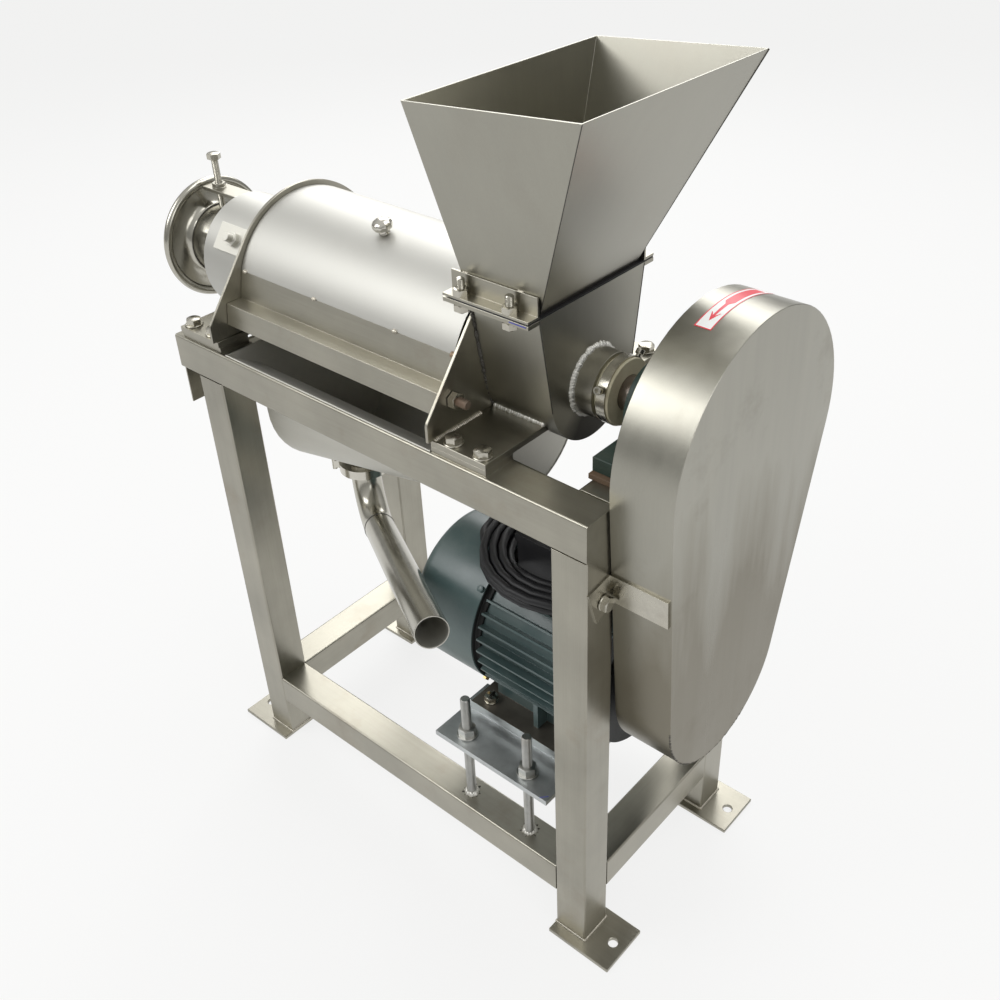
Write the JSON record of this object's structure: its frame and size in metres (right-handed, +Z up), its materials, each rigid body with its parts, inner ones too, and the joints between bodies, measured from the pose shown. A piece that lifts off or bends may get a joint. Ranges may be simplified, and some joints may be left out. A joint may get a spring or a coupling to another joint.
{
  "type": "industrial juice extractor",
  "caption": "Spiral juice extractor on a welded square-tube stand: hopper, covered press drum, conical outlet horn, juice basin with swinging spout, belt guard and hanging electric motor.",
  "frame": {"origin": "on the floor, in the middle of the four foot bolts", "axes": "+X towards the belt guard, -X towards the outlet horn, +Z up, the side lock and the spout lie on the -Y side"},
  "size_m": [0.915, 0.424, 1.127],
  "materials": {
    "satin_steel": "vertical satin brushing, straw and blue heat tint at welds",
    "blasted_steel": "bead blasted, matt",
    "polished_steel": "polished",
    "bolt_steel": "bright, machined",
    "zinc_steel": "dull zinc plated",
    "rubber": "matt",
    "nylon": "yellowish, sawn",
    "brown_spacer": "brown, rusted",
    "green_cast": "dark green paint",
    "dark_cast": "machined grey iron",
    "motor_paint": "teal grey paint, semi gloss",
    "black_plastic": "moulded",
    "cable_rubber": "matt black sheath"
  },
  "bodies": {
    "frame": {"foot_plates": "satin_steel", "legs": "satin_steel", "top_side_rails": "satin_steel", "lower_side_rails": "satin_steel", "cross_rails": "satin_steel", "base_plates": "satin_steel", "frame_bolts": "bolt_steel", "end_plate_outlet": "satin_steel", "end_plate_feed": "satin_steel", "tie_rods": "zinc_steel", "juice_basin": "satin_steel", "screen_drum": "polished_steel", "feed_box": "satin_steel", "lower_flanges": "satin_steel", "upper_flanges": "satin_steel", "flange_gasket": "rubber", "flange_bolts": "bolt_steel", "hopper": "satin_steel", "hub_pipe": "satin_steel", "shaft_bush": "nylon", "gland_collar": "zinc_steel", "collar_screws": "bolt_steel", "bearing_spacer": "brown_spacer", "pillow_block": "green_cast", "bearing_outer_ring": "bolt_steel", "bearing_balls": "bolt_steel", "drive_belts": "rubber", "plate_studs": "zinc_steel", "guard_shell": "satin_steel", "guard_straps": "satin_steel", "outlet_sleeve": "blasted_steel", "lock_bracket": "satin_steel", "side_lock": "satin_steel", "residue_apron": "satin_steel", "spout_ferrule": "polished_steel", "spout_clamp": "polished_steel"},
    "hood": {"hood_shell": "blasted_steel", "hood_ledges": "blasted_steel", "hood_knob": "polished_steel"},
    "screw": {"feed_screw": "polished_steel", "drive_shaft": "polished_steel", "bearing_inner_ring": "bolt_steel", "screw_pulley": "dark_cast"},
    "motor_mount": {"motor_plate": "zinc_steel", "motor_bolts": "bolt_steel", "motor_body": "motor_paint", "motor_shields": "motor_paint", "fan_cover": "motor_paint", "terminal_box": "motor_paint", "cable_gland": "black_plastic", "cable_stretch": "cable_rubber", "cable_coil": "cable_rubber", "cable_plug": "black_plastic"},
    "rotor": {"motor_shaft": "polished_steel", "motor_pulley": "dark_cast", "cooling_fan": "black_plastic"},
    "horn": {"outlet_horn": "polished_steel"},
    "lock_bolt_body": {"lock_bolt": "polished_steel"},
    "spout": {"spout_pipe": "polished_steel", "spout_tail": "polished_steel"}
  },
  "joints": [
    {"name": "hood_lift", "type": "slide", "parent": "frame", "child": "hood", "axis": [0, 0, 1], "range_m": [0, 0.028]},
    {"name": "screw_spin", "type": "hinge", "parent": "frame", "child": "screw", "pos_m": [0.308, 0, 0.778], "axis": [1, 0, 0], "continuous": true},
    {"name": "belt_tension", "type": "slide", "parent": "frame", "child": "motor_mount", "axis": [0, 0, 1], "range_m": [0, 0.012], "deforming": ["drive_belts"]},
    {"name": "motor_spin", "type": "hinge", "parent": "motor_mount", "child": "rotor", "pos_m": [0.308, 0, 0.372], "axis": [1, 0, 0], "continuous": true},
    {"name": "horn_slide", "type": "slide", "parent": "frame", "child": "horn", "axis": [-1, 0, 0], "range_m": [0, 0.02]},
    {"name": "lock_bolt_lift", "type": "slide", "parent": "frame", "child": "lock_bolt_body", "axis": [0, 0, 1], "range_m": [0, 0.008]},
    {"name": "spout_swing", "type": "hinge", "parent": "frame", "child": "spout", "pos_m": [-0.217, 0, 0.487], "axis": [0, 0, 1], "range_deg": [-70, 0]}
  ],
  "couplings": [
    {"joint": "motor_spin", "follows": "screw_spin", "ratio": 2.625}
  ]
}
